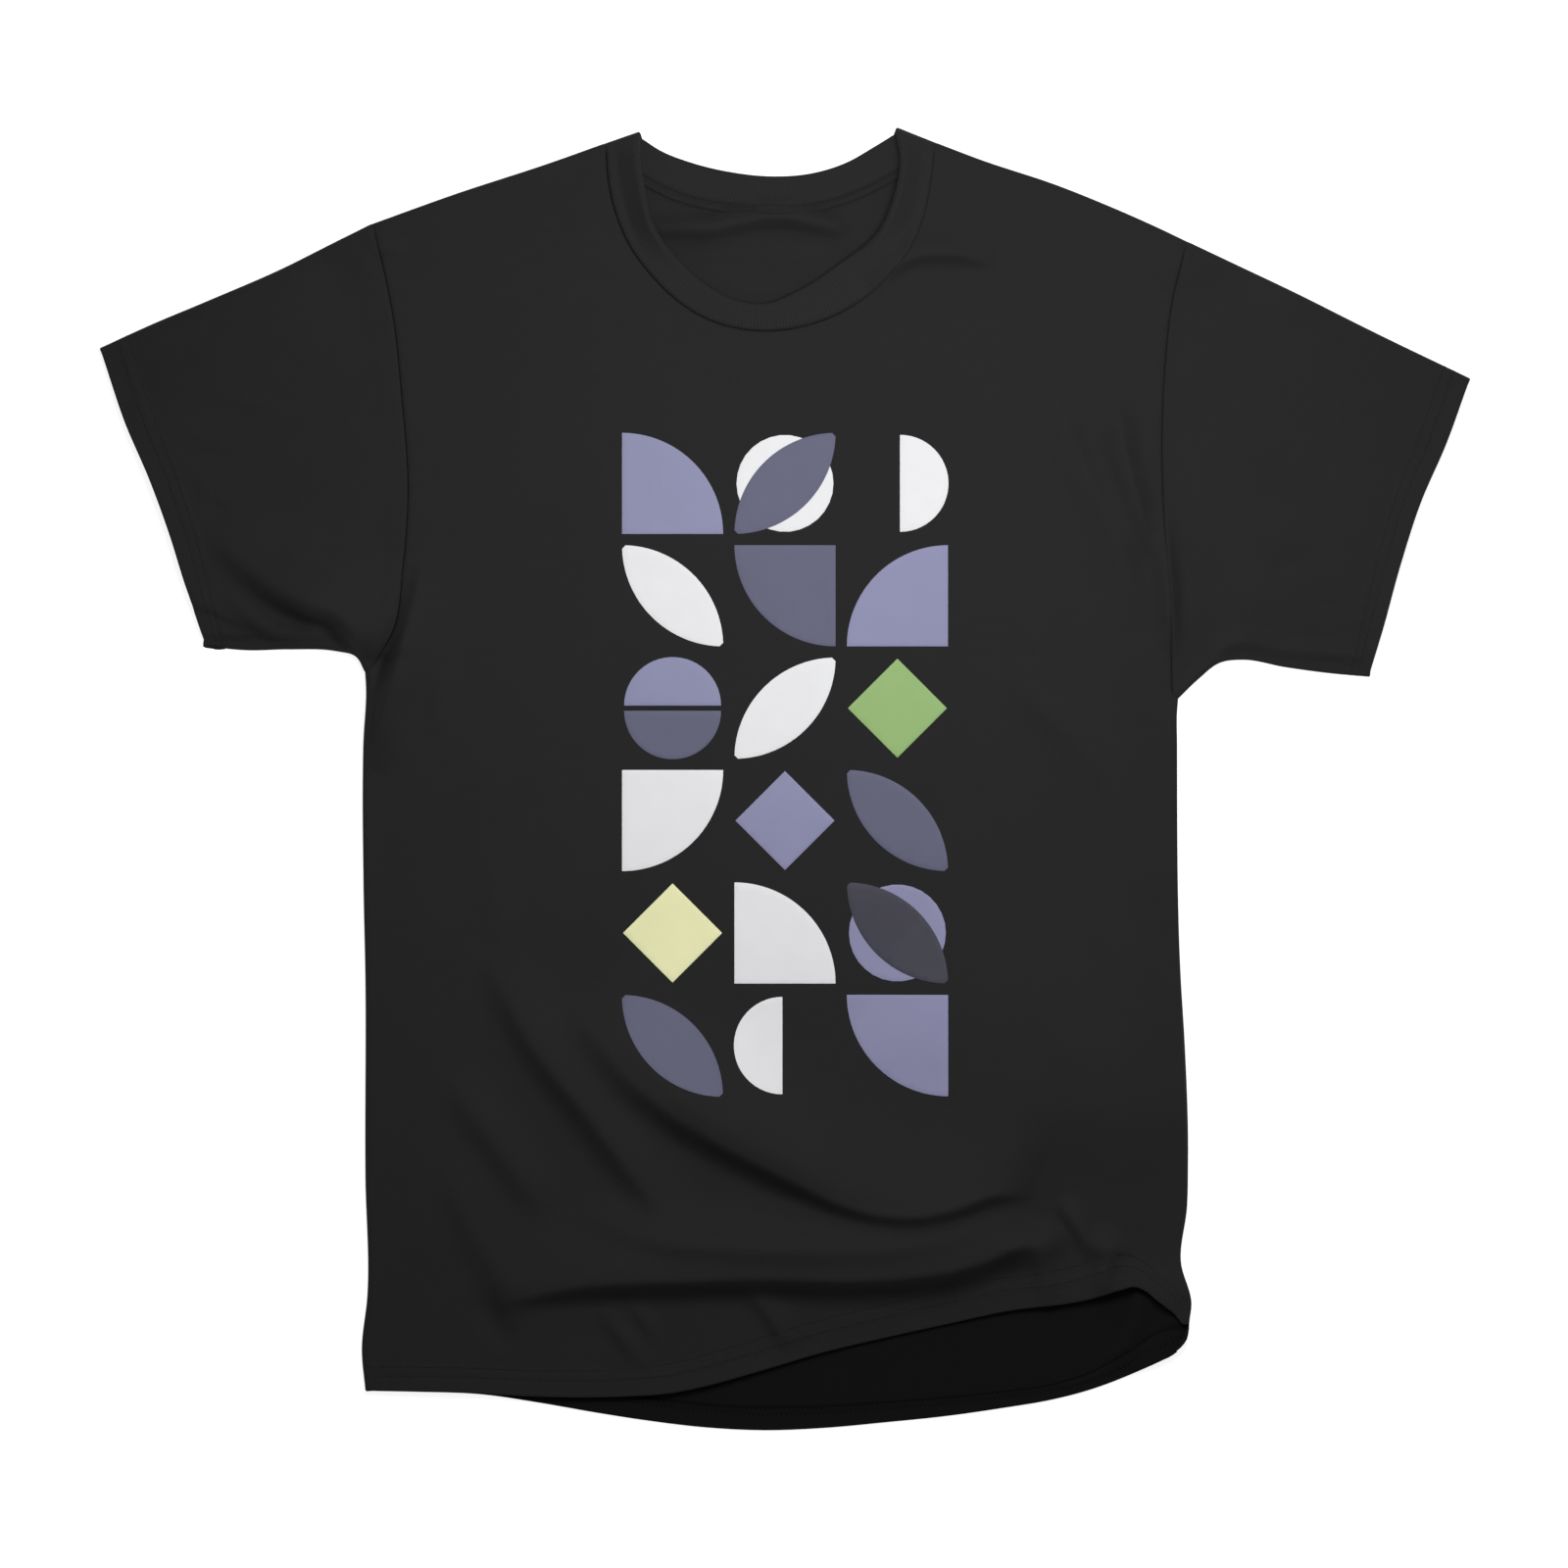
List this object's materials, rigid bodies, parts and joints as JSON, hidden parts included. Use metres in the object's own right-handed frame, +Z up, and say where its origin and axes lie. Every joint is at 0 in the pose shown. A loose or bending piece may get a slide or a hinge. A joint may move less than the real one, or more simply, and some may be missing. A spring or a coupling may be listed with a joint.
{
  "type": "t-shirt",
  "caption": "Short-sleeved crew-neck T-shirt in black cotton jersey with a ribbed neckband and a printed chest panel, lying on its back with loose folds.",
  "frame": {"origin": "on the surface that the shirt lies on, under the middle of its bounding box", "axes": "+X towards the wearer's left, +Y towards the neck, +Z up out of the front of the shirt"},
  "size_m": [0.7678, 0.7297, 0.0241],
  "materials": {
    "jersey": "black cotton single jersey, matt",
    "rib": "black cotton rib, matt",
    "thread": "black polyester sewing and overlock thread",
    "ink": "soft printed ink film in slate, lavender, navy, cream and green"
  },
  "bodies": {
    "root": {"front_panel": "jersey", "back_panel": "jersey", "right_sleeve": "jersey", "left_sleeve": "jersey", "neckband": "rib", "neck_tape": "rib", "neck_seam": "thread", "right_shoulder_seam": "thread", "left_shoulder_seam": "thread", "right_armhole_seam": "thread", "left_armhole_seam": "thread", "right_side_seam": "thread", "left_side_seam": "thread", "right_underarm_seam": "thread", "left_underarm_seam": "thread", "front_hem_stitch_row_1": "thread", "front_hem_stitch_row_2": "thread", "back_hem_cover_stitch": "thread", "right_cuff_stitch_row_1": "thread", "right_cuff_stitch_row_2": "thread", "left_cuff_stitch_row_1": "thread", "left_cuff_stitch_row_2": "thread", "chest_print": "ink"}
  },
  "joints": []
}
